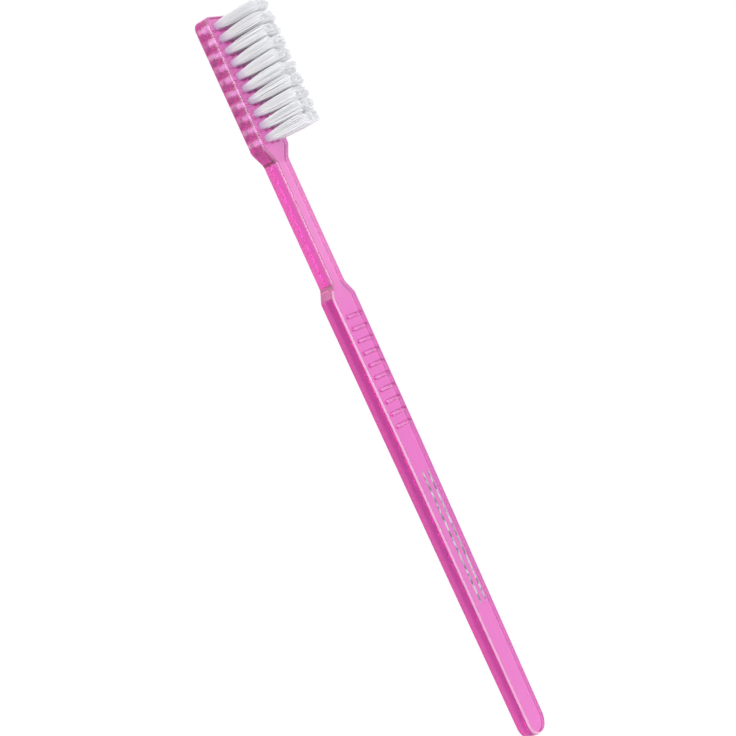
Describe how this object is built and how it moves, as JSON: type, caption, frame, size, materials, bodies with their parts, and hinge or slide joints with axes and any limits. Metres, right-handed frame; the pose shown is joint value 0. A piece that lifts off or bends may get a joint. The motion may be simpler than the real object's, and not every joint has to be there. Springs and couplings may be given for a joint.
{
  "type": "manual toothbrush",
  "caption": "Straight manual toothbrush with a flat head, rows of flared nylon tufts, slim neck, clear flared grip with thumb ribs and a tapering rounded tail.",
  "frame": {"origin": "centre of the bounding box in plan, on the flat back of the handle", "axes": "+X runs along the brush from the head to the tail, +Y across it, +Z out of the face, the way the bristles point"},
  "size_m": [0.18, 0.0116, 0.0158],
  "materials": {
    "handle_plastic": "clear magenta, injection moulded, high gloss",
    "bristle_nylon": "white nylon filaments, cut flat at the tips",
    "anchor_metal": "cut from flat wire, as rolled"
  },
  "bodies": {
    "root": {"handle": "handle_plastic", "tuft_front_01": "bristle_nylon", "tuft_front_02": "bristle_nylon", "tuft_front_03": "bristle_nylon", "tuft_front_04": "bristle_nylon", "tuft_front_05": "bristle_nylon", "tuft_front_06": "bristle_nylon", "tuft_front_07": "bristle_nylon", "tuft_front_08": "bristle_nylon", "tuft_front_09": "bristle_nylon", "tuft_front_10": "bristle_nylon", "tuft_middle_01": "bristle_nylon", "tuft_middle_02": "bristle_nylon", "tuft_middle_03": "bristle_nylon", "tuft_middle_04": "bristle_nylon", "tuft_middle_05": "bristle_nylon", "tuft_middle_06": "bristle_nylon", "tuft_middle_07": "bristle_nylon", "tuft_middle_08": "bristle_nylon", "tuft_middle_09": "bristle_nylon", "tuft_middle_10": "bristle_nylon", "tuft_rear_01": "bristle_nylon", "tuft_rear_02": "bristle_nylon", "tuft_rear_03": "bristle_nylon", "tuft_rear_04": "bristle_nylon", "tuft_rear_05": "bristle_nylon", "tuft_rear_06": "bristle_nylon", "tuft_rear_07": "bristle_nylon", "tuft_rear_08": "bristle_nylon", "tuft_rear_09": "bristle_nylon", "tuft_rear_10": "bristle_nylon", "anchors_front": "anchor_metal", "anchors_middle": "anchor_metal", "anchors_rear": "anchor_metal"}
  },
  "joints": []
}
